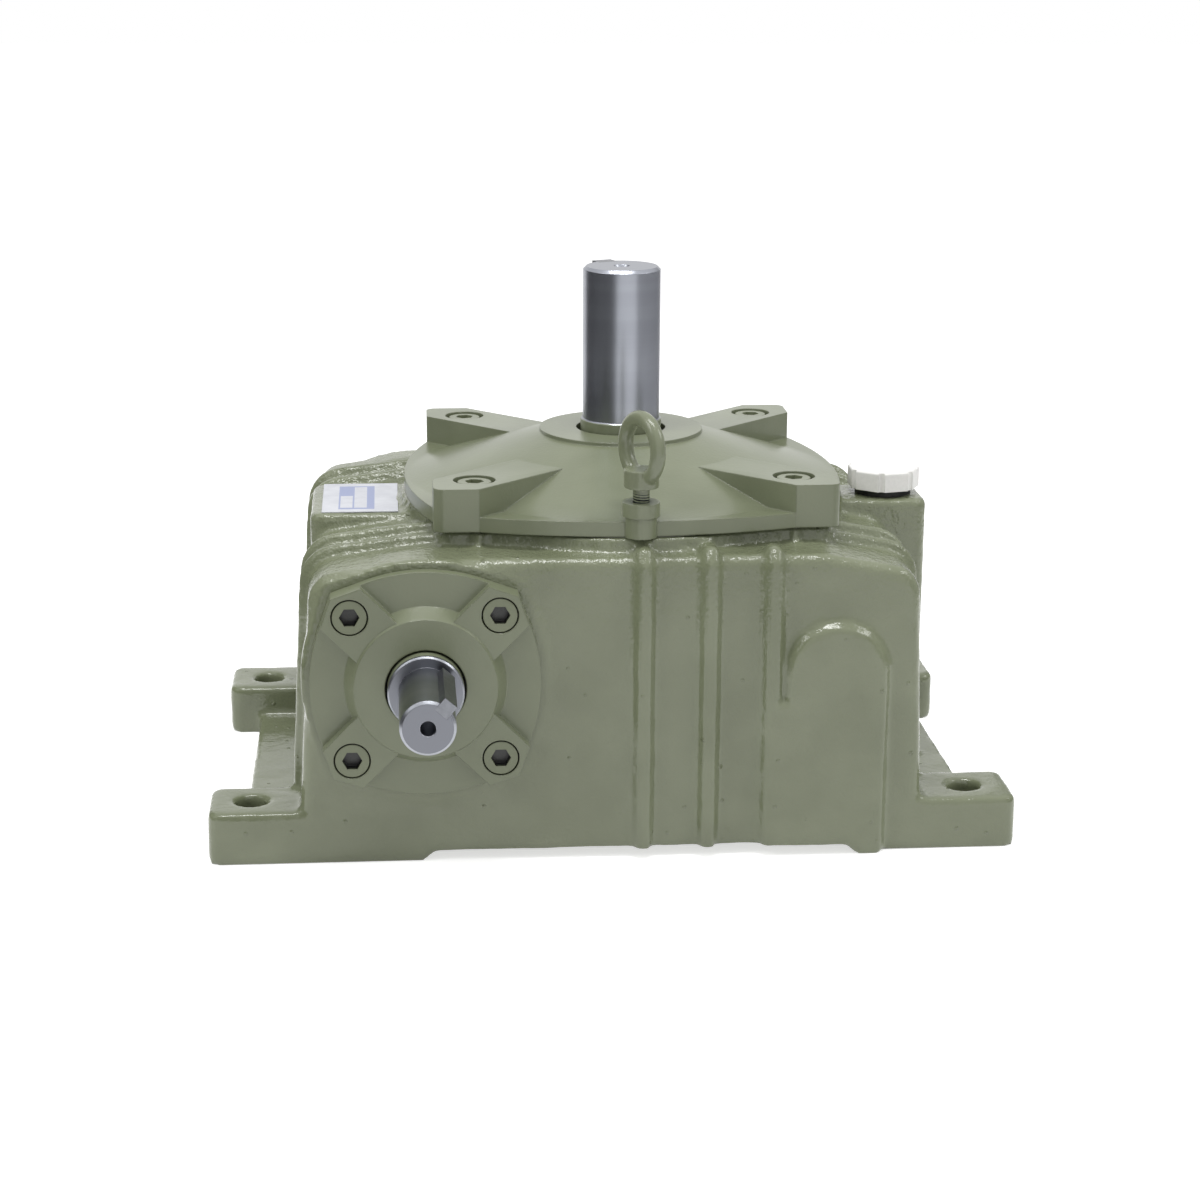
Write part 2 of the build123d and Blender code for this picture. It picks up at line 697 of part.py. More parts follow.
def tapered_bearing(name, frame, axis, cone_back, bore, outer, width, cup_width):
    """Cup, cone, rollers and cage, lying along the frame from the cone's back towards the cup's back."""
    draw = section_plane(frame)
    cup_back = cone_back + width
    cone_width = width - 2.0
    # The rollers lie between two cones round the shaft's axis
    race_start = cone_back + 3.2
    race_end = cone_back + cone_width - 2.2
    inner_large = bore + race_thickness + 1.6
    inner_small = inner_large - (race_end - race_start) * tan(race_slope)
    outer_large = outer - 3.6
    outer_slope = tan(race_slope + radians(4))

    def outer_race(along):
        return outer_large - (along - race_start) * outer_slope

    def inner_race(along):
        return inner_large - (along - race_start) * tan(race_slope)

    def mid_race(along):
        return (outer_race(along) + inner_race(along)) / 2

    with BuildPart() as cup:
        cup_front = cup_back - cup_width
        revolve(outline(draw, [
            (outer, cup_front), (outer, cup_back), (outer_race(cup_back), cup_back),
            (outer_race(cup_front), cup_front),
        ]), axis=axis)
    save(cup, name + "_bearing_cup")

    with BuildPart() as cone:
        revolve(outline(draw, [
            (bore, cone_back), (inner_large + rib_height, cone_back), (inner_large + rib_height, race_start),
            (inner_large, race_start), (inner_small, race_end), (inner_small + 0.8, race_end),
            (inner_small + 0.8, cone_back + cone_width), (bore, cone_back + cone_width),
        ]), axis=axis)
    save(cone, name + "_bearing_cone")

    # Each roller is a frustum between the races, turned about its own sloping axis
    tilt = atan2(mid_race(race_start) - mid_race(race_end), race_end - race_start)
    lean_in = (outer_race(race_start) - inner_race(race_start)) / 2 * sin(tilt)
    start = race_start + lean_in + 0.2
    end = race_end - 0.3
    roller_length = (end - start) / cos(tilt)
    large = (outer_race(start) - inner_race(start)) / 2 * cos(tilt) - 2 * roller_gap
    small = (outer_race(end) - inner_race(end)) / 2 * cos(tilt) - 2 * roller_gap
    with BuildPart() as rollers:
        for number in range(roller_count):
            spun = turned(frame.offset(start), 360 * number / roller_count)
            foot = spun.origin + spun.x_dir * mid_race(start)
            lean = spun.z_dir * cos(tilt) - spun.x_dir * sin(tilt)
            with Locations(Plane(origin=foot, x_dir=spun.y_dir, z_dir=lean)):
                Cone(large, small, roller_length, align=(Align.CENTER, Align.CENTER, Align.MIN))
    save(rollers, name + "_bearing_rollers")

    with BuildPart() as cage:
        cage_start = start - 0.1
        cage_end = end + 2.0
        lower = mid_race(cage_start) + 0.4
        upper = mid_race(cage_end) + 0.4
        revolve(outline(draw, [
            (lower, cage_start), (lower + cage_thickness, cage_start),
            (upper + cage_thickness, cage_end), (upper, cage_end),
        ]), axis=axis)
        for number in range(roller_count):
            spun = turned(frame.offset(start), 360 * number / roller_count)
            foot = spun.origin + spun.x_dir * mid_race(start)
            lean = spun.z_dir * cos(tilt) - spun.x_dir * sin(tilt)
            pocket_foot = foot - lean * 3 * cage_play
            with Locations(Plane(origin=pocket_foot, x_dir=spun.y_dir, z_dir=lean)):
                Cone(large + cage_play, small + cage_play, roller_length + 4 * cage_play,
                     align=(Align.CENTER, Align.CENTER, Align.MIN), mode=Mode.SUBTRACT)
    save(cage, name + "_bearing_cage")


up_plane = Plane.XY
down_plane = Plane(origin=(0, 0, 0), x_dir=(1, 0, 0), z_dir=(0, 0, -1))
down_axis = Axis((0, 0, 0), (0, 0, -1))
output_bearing = (output_bearing_bore, output_bearing_outer, output_bearing_width, output_cup_width)
input_bearing = (input_bearing_bore, input_bearing_outer, input_bearing_width, input_cup_width)
tapered_bearing("upper", up_plane, Axis.Z, upper_cone_back_z, *output_bearing)
tapered_bearing("lower", down_plane, down_axis, -lower_cone_back_z, *output_bearing)
tapered_bearing("front", worm_plane, worm_axis, end_cone_back, *input_bearing)
tapered_bearing("rear", rear_plane, rear_axis, end_cone_back, *input_bearing)


# Output shaft and what turns with it

wheel_key_bottom = hub_bottom_z + (wheel_hub_height - wheel_key_length) / 2
with BuildPart() as output_shaft:
    revolve(outline(Plane.XZ, [
        (0, output_foot_z), (output_bearing_bore - output_chamfer, output_foot_z),
        (output_bearing_bore, output_foot_z + output_chamfer), (output_bearing_bore, lower_cone_back_z),
        (output_collar_radius, lower_cone_back_z), (output_collar_radius, hub_bottom_z),
        (output_seat_radius, hub_bottom_z), (output_seat_radius, upper_cone_back_z - 1),
        (output_bearing_bore, upper_cone_back_z - 1), (output_journal_radius, output_shoulder_z - 0.7),
        (output_journal_radius - 0.7, output_shoulder_z), (output_end_radius, output_shoulder_z),
        (output_end_radius, output_end_z - output_chamfer),
        (output_end_radius - output_chamfer, output_end_z), (0, output_end_z),
    ]), axis=Axis.Z)
    key_frame = turned(Plane.XY, output_key_angle)
    key_foot_z = output_end_z - output_key_length
    with Locations(key_frame.offset(key_foot_z)):
        with Locations((output_end_radius - output_key_depth, 0, 0)):
            Box(output_key_depth + 2, output_key_width, output_key_length + 1,
                align=(Align.MIN, Align.CENTER, Align.MIN), mode=Mode.SUBTRACT)
            Cylinder(output_key_width / 2, output_key_depth + 2, rotation=(0, 90, 0),
                     align=(Align.CENTER, Align.CENTER, Align.MIN), mode=Mode.SUBTRACT)
    with Locations((output_seat_radius - wheel_key_depth, 0, wheel_key_bottom)):
        Box(wheel_key_depth + 1, wheel_key_width, wheel_key_length,
            align=(Align.MIN, Align.CENTER, Align.MIN), mode=Mode.SUBTRACT)
    with Locations((0, 0, output_end_z)):
        CounterSinkHole(output_centre_hole, output_centre_hole * 1.8, depth=9, counter_sink_angle=60)
save(output_shaft, "output_shaft")

with BuildPart() as output_key:
    with Locations(key_frame.offset(key_foot_z)):
        with Locations((output_end_radius - output_key_depth, 0, 0)):
            Box(output_key_height, output_key_width, output_key_length,
                align=(Align.MIN, Align.CENTER, Align.MIN))
            Cylinder(output_key_width / 2, output_key_height, rotation=(0, 90, 0),
                     align=(Align.CENTER, Align.CENTER, Align.MIN))
save(output_key, "output_key")

with BuildPart() as wheel_key:
    with Locations((output_seat_radius - wheel_key_depth, 0, wheel_key_bottom)):
        Box(wheel_key_height, wheel_key_width, wheel_key_length,
            align=(Align.MIN, Align.CENTER, Align.MIN))
save(wheel_key, "wheel_key")

with BuildPart() as bearing_spacer:
    revolve(outline(Plane.XZ, [
        (output_seat_radius, hub_top_z), (output_collar_radius, hub_top_z),
        (output_collar_radius, upper_cone_back_z), (output_seat_radius, upper_cone_back_z),
    ]), axis=Axis.Z)
save(bearing_spacer, "bearing_spacer")

with BuildPart() as rim_screws:
    for number in range(rim_screw_count):
        spot = turned(Plane.XY.offset(wheel_top), (number + 0.5) * 360 / rim_screw_count)
        with Locations(spot):
            with Locations((wheel_seam_radius, 0, 0)):
                Cylinder(rim_screw_radius, rim_screw_length, align=(Align.CENTER, Align.CENTER, Align.MAX))
        with BuildSketch(spot):
            with Locations((wheel_seam_radius, 0)):
                RegularPolygon(rim_screw_socket / 2, 6, major_radius=False)
        extrude(amount=-rim_screw_length / 2, mode=Mode.SUBTRACT)
save(rim_screws, "rim_screws")


def rim_screw_holes():
    """The drilled seats of the grub screws, half in the iron and half in the bronze."""
    with BuildPart() as holes:
        with PolarLocations(wheel_seam_radius, rim_screw_count, start_angle=180 / rim_screw_count):
            with Locations((0, 0, wheel_top + 1)):
                Cylinder(rim_screw_radius, rim_screw_length + 1, align=(Align.CENTER, Align.CENTER, Align.MAX))
    return holes.part


with BuildPart() as wheel_centre:
    web_bottom = worm_height - wheel_web / 2
    web_top = worm_height + wheel_web / 2
    rim_inner = wheel_seam_radius - wheel_rim_wall
    revolve(outline(Plane.XZ, [
        (output_seat_radius, hub_bottom_z), (wheel_hub_radius, hub_bottom_z), (wheel_hub_radius, web_bottom),
        (rim_inner, web_bottom), (rim_inner, wheel_bottom), (wheel_seam_radius, wheel_bottom),
        (wheel_seam_radius, wheel_top), (rim_inner, wheel_top), (rim_inner, web_top),
        (wheel_hub_radius, web_top), (wheel_hub_radius, hub_top_z), (output_seat_radius, hub_top_z),
    ]), axis=Axis.Z)
    with Locations((0, 0, hub_bottom_z)):
        Box(output_seat_radius + wheel_key_height - wheel_key_depth + 0.2, wheel_key_width,
            wheel_hub_height, align=(Align.MIN, Align.CENTER, Align.MIN), mode=Mode.SUBTRACT)
    add(rim_screw_holes(), mode=Mode.SUBTRACT)
save(wheel_centre, "wheel_centre")


# Worm wheel rim: each tooth gap is the space that the worm's threads sweep as the wheel rolls

def thread_width(radius):
    """Axial thickness of a thread at a radius from the worm's axis."""
    return axial_pitch / 2 - 2 * (radius - worm_pitch_radius) * tan(pressure_angle)


def gap_angles(radius, height):
    """Lowest and highest wheel angle that a thread reaches, at a radius and a height from the middle."""
    low, high = 0.0, 0.0
    steps = 120
    found = False
    for step in range(-steps, steps + 1):
        angle = step / steps * radians(24)
        reach = centre_distance - radius * cos(angle)
        worm_radius = sqrt(reach * reach + height * height)
        if worm_radius > worm_tip_radius:
            continue
        middle = -worm_lead / (2 * pi) * atan2(height, reach)
        along = radius * sin(angle) - middle
        half = thread_width(worm_radius) / 2
        first = angle - (along + half) / wheel_pitch_radius
        last = angle - (along - half) / wheel_pitch_radius
        low = first if not found else min(low, first)
        high = last if not found else max(high, last)
        found = True
    return low, high


def gap_section(height):
    """Corners of one tooth gap in a level plane, as distances from the wheel's axis and angles."""
    throat = worm_tip_radius + tip_clearance
    root = centre_distance - sqrt(throat ** 2 - height ** 2)
    deepest = centre_distance - sqrt(worm_tip_radius ** 2 - height ** 2) + 0.05
    radii = [deepest + (wheel_outer_radius - deepest) * share for share in (0, 0.3, 0.65, 1.0)]
    corners = []
    for radius in radii:
        low, high = gap_angles(radius, height)
        slack = tooth_clearance / radius
        corners.append((radius, low - slack, high + slack))
    first = corners[0]
    last = corners[-1]
    flare = 2.0 / wheel_outer_radius * tan(pressure_angle)
    left = [(root, first[1])] + [(r, low) for r, low, high in corners]
    left.append((wheel_outer_radius + 2, last[1] - flare))
    right = [(root, first[2])] + [(r, high) for r, low, high in corners]
    right.append((wheel_outer_radius + 2, last[2] + flare))
    return left + right[::-1]


with BuildPart() as tooth_gap:
    levels = 5
    reach_up = wheel_width / 2 + 0.5
    for level in range(levels):
        height = -reach_up + 2 * reach_up * level / (levels - 1)
        corners = [(-r * cos(a), r * sin(a)) for r, a in gap_section(height)]
        with BuildSketch(Plane.XY.offset(worm_height + height)):
            with BuildLine():
                Polyline(*corners, close=True)
            make_face()
    loft(ruled=True)

with BuildPart() as wheel_rim:
    throat_radius = worm_root_radius + tip_clearance
    with BuildSketch(Plane.XZ):
        with Locations(((wheel_seam_radius + wheel_outer_radius) / 2, worm_height)):
            Rectangle(wheel_outer_radius - wheel_seam_radius, wheel_width)
        with Locations((centre_distance, worm_height)):
            Circle(throat_radius, mode=Mode.SUBTRACT)
    revolve(axis=Axis.Z)
    with PolarLocations(0, wheel_teeth):
        add(tooth_gap.part, mode=Mode.SUBTRACT)
    add(rim_screw_holes(), mode=Mode.SUBTRACT)
save(wheel_rim, "wheel_rim")


# Worm shaft and what turns with it

def flank(start, side, radii):
    """Points along one side of a thread, seen in a cut square to the worm's axis."""
    angles = [radians(start) + side * thread_width(radius) * pi / worm_lead for radius in radii]
    return [(radius * cos(angle), radius * sin(angle)) for radius, angle in zip(radii, angles)]


def rim_point(radius, degrees_round):
    return (radius * cos(radians(degrees_round)), radius * sin(radians(degrees_round)))


with BuildSketch() as thread_section:
    flank_steps = 6
    flank_height = worm_tip_radius - worm_root_radius
    rising = [worm_root_radius + flank_height * step / flank_steps for step in range(flank_steps + 1)]
    start_spacing = 360 / worm_starts
    with BuildLine():
        for start in range(worm_starts):
            middle = start * start_spacing
            up = flank(middle, -1, rising)
            down = flank(middle, 1, rising[::-1])
            following = flank(middle + start_spacing, -1, rising[:1])
            Spline(*up)
            ThreePointArc(up[-1], rim_point(worm_tip_radius, middle), down[0])
            Spline(*down)
            ThreePointArc(down[-1], rim_point(worm_root_radius, middle + start_spacing / 2), following[0])
    make_face()

with BuildPart() as worm_thread:
    thread_half = worm_thread_length / 2
    thread_turn = 360 * worm_thread_length / worm_lead
    thread_foot = thread_section.sketch.faces()[0].moved(
        Location((0, 0, -thread_half), (0, 0, -thread_turn / 2)))
    add(Solid.extrude_linear_with_rotation(thread_foot, Vector(0, 0, -thread_half),
                                           Vector(0, 0, worm_thread_length), thread_turn))
    # Both ends of the thread are bevelled
    for end in (-1, 1):
        bevel_top = end * (thread_half + 0.5)
        revolve(outline(Plane.XZ, [
            (worm_tip_radius - thread_bevel, bevel_top), (worm_tip_radius + 1, bevel_top),
            (worm_tip_radius + 1, bevel_top - end * (thread_bevel + 1)),
        ]), axis=Axis.Z, mode=Mode.SUBTRACT)

with BuildPart() as worm_shaft:
    neck_end = thread_half + 9
    front_profile = [
        (input_neck_radius, neck_end),
        (input_shoulder_radius, neck_end + 5), (input_shoulder_radius, end_cone_back),
        (input_bearing_bore, end_cone_back),
    ]
    rear_profile = [(radius, -along) for radius, along in front_profile[::-1]]
    revolve(outline(section_plane(worm_plane), [
        (0, -input_rear_end), (input_bearing_bore - input_chamfer, -input_rear_end),
        (input_bearing_bore, -input_rear_end + input_chamfer), *rear_profile,
        *front_profile,
        (input_bearing_bore, input_shoulder_y - 0.8), (input_journal_radius - 0.8, input_shoulder_y),
        (input_end_radius, input_shoulder_y), (input_end_radius, input_end_y - input_chamfer),
        (input_end_radius - input_chamfer, input_end_y), (0, input_end_y),
    ]), axis=worm_axis)
    with Locations(worm_plane):
        add(worm_thread.part)
    key_spot = turned(worm_plane, input_key_angle).offset(input_end_y - input_key_length)
    with Locations(key_spot):
        with Locations((input_end_radius - input_key_depth, 0, 0)):
            Box(input_key_depth + 2, input_key_width, input_key_length + 1,
                align=(Align.MIN, Align.CENTER, Align.MIN), mode=Mode.SUBTRACT)
    with Locations(worm_plane.offset(input_end_y)):
        CounterSinkHole(input_tapped_radius, input_countersink, depth=input_tapped_depth,
                        counter_sink_angle=90)
save(worm_shaft, "worm_shaft")

with BuildPart() as input_key:
    with Locations(key_spot):
        with Locations((input_end_radius - input_key_depth, 0, 0)):
            Box(input_key_width, input_key_width, input_key_length,
                align=(Align.MIN, Align.CENTER, Align.MIN))
save(input_key, "input_key")


# Small pieces on the casting

with BuildPart() as name_plate:
    with Locations((plate_centre[0], plate_centre[1], pad_z)):
        Box(plate_size[0], plate_size[1], plate_thickness, align=(Align.CENTER, Align.CENTER, Align.MIN))
save(name_plate, "name_plate")

with BuildPart() as filler_cap:
    with BuildSketch(Plane.XY.offset(cap_bottom_z)):
        with Locations((filler_x, 0)):
            RegularPolygon(cap_radius, cap_sides)
    extrude(amount=cap_top_z - cap_bottom_z)
    fillet(filler_cap.edges().filter_by(Axis.Z), 2.5)
    fillet(filler_cap.edges().group_by(Axis.Z)[-1], 1.0)
    with Locations((filler_x, 0, cap_bottom_z)):
        # A narrow notch at each corner for the grip
        with PolarLocations(cap_radius, cap_sides):
            Cylinder(cap_notch_radius, 3 * cap_top_z, mode=Mode.SUBTRACT)
        Cylinder(filler_hole_radius, cap_bottom_z - pad_z + cap_stem_length,
                 align=(Align.CENTER, Align.CENTER, Align.MAX))
save(filler_cap, "filler_cap")

with BuildPart() as filler_seal:
    with Locations((filler_x, 0, pad_z)):
        Cylinder(cap_seal_radius, cap_bottom_z - pad_z, align=(Align.CENTER, Align.CENTER, Align.MIN))
        Cylinder(filler_hole_radius + thread_play, 20, mode=Mode.SUBTRACT)
save(filler_seal, "filler_seal")

with BuildPart() as eye_bolt:
    with Locations((0, eye_boss_y, eye_collar_z)):
        Cylinder(eye_collar_radius, eye_collar_top - eye_collar_z,
                 align=(Align.CENTER, Align.CENTER, Align.MIN))
    with Locations((0, eye_boss_y, eye_collar_z + 1)):
        Cylinder(eye_thread_radius, eye_collar_z + 1 - eye_boss_top_z + eye_thread_depth - 1,
                 align=(Align.CENTER, Align.CENTER, Align.MAX))
    eye_plane = Plane(origin=(0, eye_boss_y, eye_centre_z), x_dir=(0, 0, 1),
                      z_dir=(-sin(radians(eye_angle)), -cos(radians(eye_angle)), 0))
    with Locations(eye_plane):
        Torus(eye_ring_radius, eye_section_radius)
save(eye_bolt, "eye_bolt")

with BuildPart() as oil_gauge_body:
    with Locations(rear_wall.offset(0)):
        with Locations((0, worm_height, -gauge_stem)):
            Cylinder(gauge_radius, gauge_stem, align=(Align.CENTER, Align.CENTER, Align.MIN))
        with Locations((0, worm_height, 0)):
            Cylinder(gauge_flange_radius, gauge_flange, align=(Align.CENTER, Align.CENTER, Align.MIN))
        with Locations((0, worm_height, 1)):
            Cylinder(gauge_glass_radius, gauge_flange, align=(Align.CENTER, Align.CENTER, Align.MIN),
                     mode=Mode.SUBTRACT)
        with Locations((0, worm_height, 0)):
            Cylinder(gauge_glass_radius - 2, 4 * gauge_stem, mode=Mode.SUBTRACT)
save(oil_gauge_body, "oil_gauge_body")

with BuildPart() as oil_gauge_glass:
    with Locations(rear_wall.offset(1)):
        with Locations((0, worm_height, 0)):
            Cylinder(gauge_glass_radius, gauge_flange - 2, align=(Align.CENTER, Align.CENTER, Align.MIN))
save(oil_gauge_glass, "oil_gauge_glass")

with BuildPart() as drain_washer_ring:
    with Locations(rear_wall):
        with Locations((0, drain_z, 0)):
            Cylinder(drain_washer_radius, drain_washer, align=(Align.CENTER, Align.CENTER, Align.MIN))
            Cylinder(drain_radius + thread_play, 20, mode=Mode.SUBTRACT)
save(drain_washer_ring, "drain_washer")

with BuildPart() as drain_plug:
    with BuildSketch(rear_wall.offset(drain_washer)):
        with Locations((0, drain_z)):
            RegularPolygon(drain_head_width / 2, 6, major_radius=False)
    extrude(amount=drain_head)
    with Locations(rear_wall.offset(drain_washer)):
        with Locations((0, drain_z, 0)):
            Cylinder(drain_radius, drain_stem + drain_washer, align=(Align.CENTER, Align.CENTER, Align.MAX))
save(drain_plug, "drain_plug")
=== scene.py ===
import math

import bmesh
import bpy
from mathutils import Matrix, Vector


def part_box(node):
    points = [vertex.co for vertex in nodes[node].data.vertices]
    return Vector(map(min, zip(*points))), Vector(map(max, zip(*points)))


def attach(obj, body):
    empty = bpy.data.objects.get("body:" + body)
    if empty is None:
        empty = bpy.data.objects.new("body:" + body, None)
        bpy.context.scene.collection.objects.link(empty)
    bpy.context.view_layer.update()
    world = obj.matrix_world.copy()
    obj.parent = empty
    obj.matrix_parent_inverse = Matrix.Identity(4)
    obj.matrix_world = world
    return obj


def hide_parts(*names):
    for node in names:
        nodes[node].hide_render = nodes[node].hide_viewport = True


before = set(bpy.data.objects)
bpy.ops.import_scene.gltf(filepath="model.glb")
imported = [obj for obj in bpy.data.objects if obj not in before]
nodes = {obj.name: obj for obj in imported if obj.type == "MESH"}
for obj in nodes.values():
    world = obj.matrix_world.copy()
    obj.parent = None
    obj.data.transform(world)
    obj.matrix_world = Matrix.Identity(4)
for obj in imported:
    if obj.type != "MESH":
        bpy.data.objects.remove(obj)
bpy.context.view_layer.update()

# Worm reducer: a sand-cast housing brushed with thick enamel, machined covers painted more thinly,
# and two ground shafts. Lettering and the print on the plate and on the cap are left off.

MM = 0.001


def linear(colour):
    """Linear RGBA of an sRGB hex colour."""
    channels = [int(colour[at:at + 2], 16) / 255 for at in (1, 3, 5)]
    return tuple(c / 12.92 if c <= 0.04045 else ((c + 0.055) / 1.055) ** 2.4
                 for c in channels) + (1.0,)


def node(tree, kind, inputs=None, **settings):
    """Adds a node, sets it, and gives each input a value or a link."""
    made = tree.nodes.new(kind)
    for name, value in settings.items():
        setattr(made, name, value)
    for key, value in (inputs or {}).items():
        if isinstance(value, bpy.types.NodeSocket):
            tree.links.new(value, made.inputs[key])
        else:
            made.inputs[key].default_value = value
    return made


def calculated(tree, operation, *terms, **settings):
    """The result of a Math node."""
    return node(tree, "ShaderNodeMath", dict(enumerate(terms)), operation=operation,
                **settings).outputs[0]


def eased(tree, value, start, end, low=0.0, high=1.0):
    """A number that goes from low to high while the value goes from start to end."""
    return node(tree, "ShaderNodeMapRange",
                {"Value": value, "From Min": start, "From Max": end,
                 "To Min": low, "To Max": high}).outputs["Result"]


def blended(tree, factor, first, second):
    """The first colour where the factor is 0, and the second where it is 1."""
    return node(tree, "ShaderNodeMix", {"Factor": factor, 6: first, 7: second},
                data_type="RGBA").outputs[2]


def noise(tree, place, size_mm, detail=2.0, rough=0.5):
    """Noise whose patches are about size_mm across."""
    return node(tree, "ShaderNodeTexNoise",
                {"Vector": place, "Scale": 1000 / size_mm, "Detail": detail,
                 "Roughness": rough}).outputs["Fac"]


def tinted(tree, low, high, factor):
    """A colour that drifts between two shades with a noise, whose values crowd round 0.5."""
    return blended(tree, eased(tree, factor, 0.35, 0.65), linear(low), linear(high))


def rounded(tree, radius_mm):
    """Normal with the sharp edges of the CAD piece eased as paint or a file eases them."""
    return node(tree, "ShaderNodeBevel", {"Radius": radius_mm * MM}, samples=6).outputs["Normal"]


def bumped(tree, height, depth_mm, **further):
    """Normal that follows a height."""
    return node(tree, "ShaderNodeBump",
                {"Height": height, "Distance": depth_mm * MM, **further}).outputs["Normal"]


def finish_material(name, shader_inputs):
    """A material with only a shader in its tree, and the place of each point in metres."""
    material = bpy.data.materials.new(name)
    material.use_nodes = True
    tree = material.node_tree
    tree.nodes.clear()
    shader = node(tree, "ShaderNodeBsdfPrincipled", shader_inputs)
    node(tree, "ShaderNodeOutputMaterial", {"Surface": shader.outputs["BSDF"]})
    place = node(tree, "ShaderNodeTexCoord").outputs["Object"]
    return material, tree, shader, place


def parts_of(material):
    """The tree, the shader and the place of each point of a material made before."""
    tree = material.node_tree
    shader = next(n for n in tree.nodes if n.type == "BSDF_PRINCIPLED")
    place = next(n for n in tree.nodes if n.type == "TEX_COORD").outputs["Object"]
    return tree, shader, place


# Widths in the enamel: patches of colour, lumps, grit, and the cells that may hold a pimple
PATCH_MM, LUMP_MM, GRIT_MM, CELL_MM = 35, 3.4, 1.4, 8
# A pimple's radius as a share of its cell, and the share of the cells that stay free of them
PIMPLE_RADIUS, PIMPLE_FREE = 0.15, 0.55
# Heights between which the lower walls go over into the top of the mould
WALLS_END, SHOULDERS_START = 105 * MM, 140 * MM


def enamel(name, low, high, lump, grit, rough, edge, shoulders=1.0, bevelled=True, pimple=0.0):
    """Machine enamel: glossy and run soft, with the lumps of the iron under it.

    lump, grit and pimple are heights in mm, and shoulders is how much of the first two the lower
    walls keep, because the sand was rammed less hard over the top of the mould.
    """
    material, tree, shader, place = finish_material(name, {"Roughness": rough, "IOR": 1.56})
    tree.links.new(tinted(tree, low, high, noise(tree, place, PATCH_MM)),
                   shader.inputs["Base Color"])
    height = node(tree, "ShaderNodeSeparateXYZ", {"Vector": place}).outputs["Z"]
    strength = eased(tree, height, WALLS_END, SHOULDERS_START, shoulders, 1.0)
    under = {"Normal": rounded(tree, edge)} if bevelled else {}
    lumps = bumped(tree, noise(tree, place, LUMP_MM, 3.0), lump, Strength=strength, **under)
    skin = bumped(tree, noise(tree, place, GRIT_MM), grit, Strength=strength, Normal=lumps)
    if pimple:
        cell = node(tree, "ShaderNodeTexVoronoi", {"Vector": place, "Scale": 1000 / CELL_MM})
        dome = eased(tree, cell.outputs["Distance"], 0.0, PIMPLE_RADIUS, 1.0, 0.0)
        lot = node(tree, "ShaderNodeSeparateXYZ", {"Vector": cell.outputs["Color"]}).outputs["X"]
        chosen = calculated(tree, "GREATER_THAN", lot, PIMPLE_FREE)
        skin = bumped(tree, calculated(tree, "MULTIPLY", dome, chosen), pimple, Normal=skin)
    tree.links.new(skin, shader.inputs["Normal"])
    return material


def painted_shade_in_recesses(material, reach_mm):
    """Painted shade: darkens sockets and corners towards near black by how enclosed they are."""
    tree, shader, _ = parts_of(material)
    clear = node(tree, "ShaderNodeAmbientOcclusion", {"Distance": reach_mm * MM}, samples=8)
    painted = shader.inputs["Base Color"].links[0].from_socket
    # Painted shade: the more enclosed a point, the nearer its colour goes to near black
    mixed = blended(tree, eased(tree, clear.outputs["AO"], 0.50, 0.78), linear("#0F100D"), painted)
    tree.links.new(mixed, shader.inputs["Base Color"])


def paint_below(material, axis, limit_mm, low, high):
    """Overspray: the enamel of the cover lies on the shaft up to a distance along it."""
    tree, shader, place = parts_of(material)
    along = node(tree, "ShaderNodeSeparateXYZ", {"Vector": place}).outputs[axis]
    along = calculated(tree, "ABSOLUTE", along)
    ragged = calculated(tree, "MULTIPLY_ADD", noise(tree, place, 5.0), 1.2 * MM, along)
    bare = eased(tree, ragged, (limit_mm + 0.4) * MM, (limit_mm + 0.9) * MM)
    steel = shader.inputs["Base Color"].links[0].from_socket
    coat = tinted(tree, low, high, noise(tree, place, 12))
    tree.links.new(blended(tree, bare, coat, steel), shader.inputs["Base Color"])
    tree.links.new(bare, shader.inputs["Metallic"])


def ground_steel(name, axis, low, high, end, rough):
    """Cylindrically ground carbon steel: fine rings round the shaft, and end faces in a colour of
    their own, which on the worm is painted shade.
    """
    material, tree, shader, place = finish_material(name, {"Metallic": 1.0, "Roughness": rough})
    along = node(tree, "ShaderNodeSeparateXYZ", {"Vector": place}).outputs[axis]
    rings, bands = (node(tree, "ShaderNodeTexNoise",
                         {"W": along, "Scale": 1000 / width_mm, "Detail": detail},
                         noise_dimensions="1D").outputs["Fac"]
                    for width_mm, detail in ((0.7, 3.0), (14, 4.0)))
    facing = node(tree, "ShaderNodeSeparateXYZ", {"Vector": place.node.outputs["Normal"]})
    # Painted shade: faces across the axis take the end colour, darker than the ground length on the
    # worm
    is_end = calculated(tree, "GREATER_THAN",
                        calculated(tree, "ABSOLUTE", facing.outputs[axis]), 0.9)
    tree.links.new(blended(tree, is_end, tinted(tree, low, high, bands), linear(end)),
                   shader.inputs["Base Color"])
    tree.links.new(bumped(tree, rings, 0.012, Strength=1.0, Normal=rounded(tree, 0.4)),
                   shader.inputs["Normal"])
    return material


def clouded(name, shader_inputs, low, high, size_mm, detail, depth, edge):
    """A material whose colour and surface follow one noise."""
    material, tree, shader, place = finish_material(name, shader_inputs)
    clouds = noise(tree, place, size_mm, detail)
    tree.links.new(tinted(tree, low, high, clouds), shader.inputs["Base Color"])
    tree.links.new(bumped(tree, clouds, depth, Normal=rounded(tree, edge)),
                   shader.inputs["Normal"])
    return material


def plain_metal(name, low, high, rough, size_mm=6.0, depth=0.02):
    """Bare metal with faint clouding."""
    return clouded(name, {"Metallic": 1.0, "Roughness": rough}, low, high, size_mm, 3.0, depth, 0.3)


def moulded(name, low, high, rough):
    """Moulded plastic or rubber."""
    return clouded(name, {"Roughness": rough, "IOR": 1.49}, low, high, 2.0, 2.0, 0.03, 0.4)


